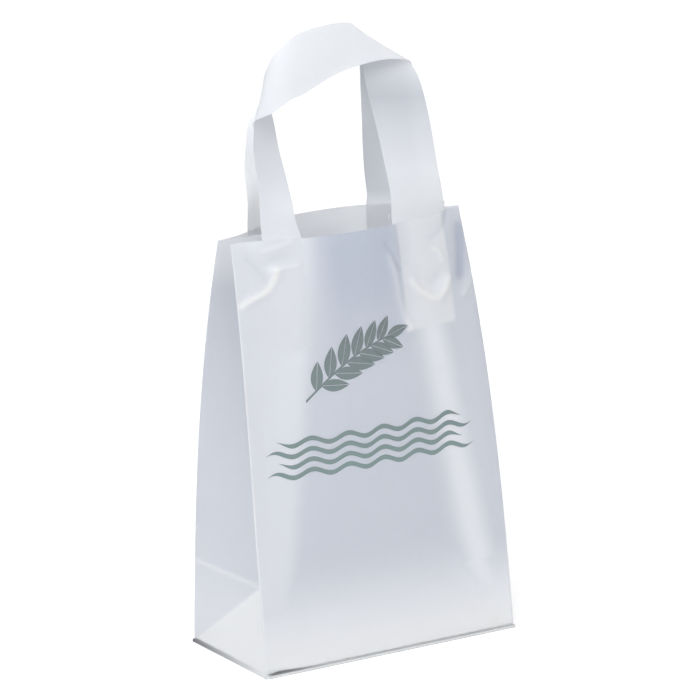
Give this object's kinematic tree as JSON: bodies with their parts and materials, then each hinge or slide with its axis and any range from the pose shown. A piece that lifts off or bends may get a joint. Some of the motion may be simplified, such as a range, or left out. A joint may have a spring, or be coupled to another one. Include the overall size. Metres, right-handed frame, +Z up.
{
  "type": "plastic carrier bag",
  "caption": "Frosted side-gusseted carrier bag with a flat block bottom, an open mouth and soft loop handles of flat film tape.",
  "frame": {"origin": "centre of the bounding box's bottom, on the face the bag rests on", "axes": "+X to the right along the front panel, +Y from the front panel to the back panel, +Z up"},
  "size_m": [0.2054, 0.1104, 0.4441],
  "materials": {
    "frosted_film": "frosted translucent film, slightly blue-grey",
    "handle_tape": "frosted translucent film tape",
    "white_board": "plain white board"
  },
  "bodies": {
    "root": {"bag_body": "frosted_film", "front_handle": "handle_tape", "back_handle": "handle_tape", "bottom_board": "white_board"}
  },
  "joints": []
}
